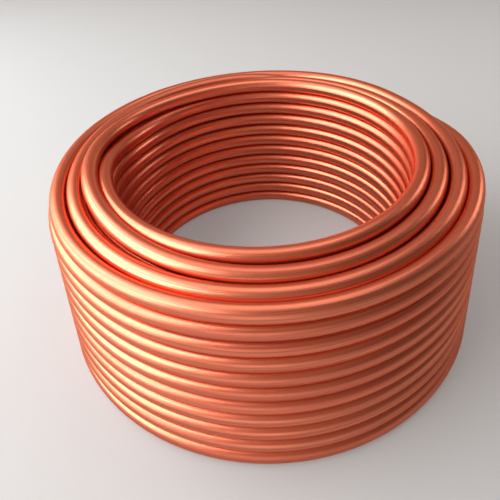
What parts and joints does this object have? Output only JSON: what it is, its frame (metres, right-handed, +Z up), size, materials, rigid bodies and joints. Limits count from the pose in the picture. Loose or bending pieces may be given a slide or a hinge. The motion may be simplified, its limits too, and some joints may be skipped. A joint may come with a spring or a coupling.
{
  "type": "copper tube coil",
  "caption": "Coil of soft copper tube wound in four level layers, standing on its end, with an open round bore.",
  "frame": {"origin": "centre of the coil's lower end, on the floor", "axes": "+Z up along the coil's axis; the coil is turned, so +X and +Y are free"},
  "size_m": [0.3456, 0.3454, 0.1524],
  "materials": {
    "copper": "bright drawn copper, lightly tarnished"
  },
  "bodies": {
    "root": {"copper_tube_coil": "copper"}
  },
  "joints": []
}
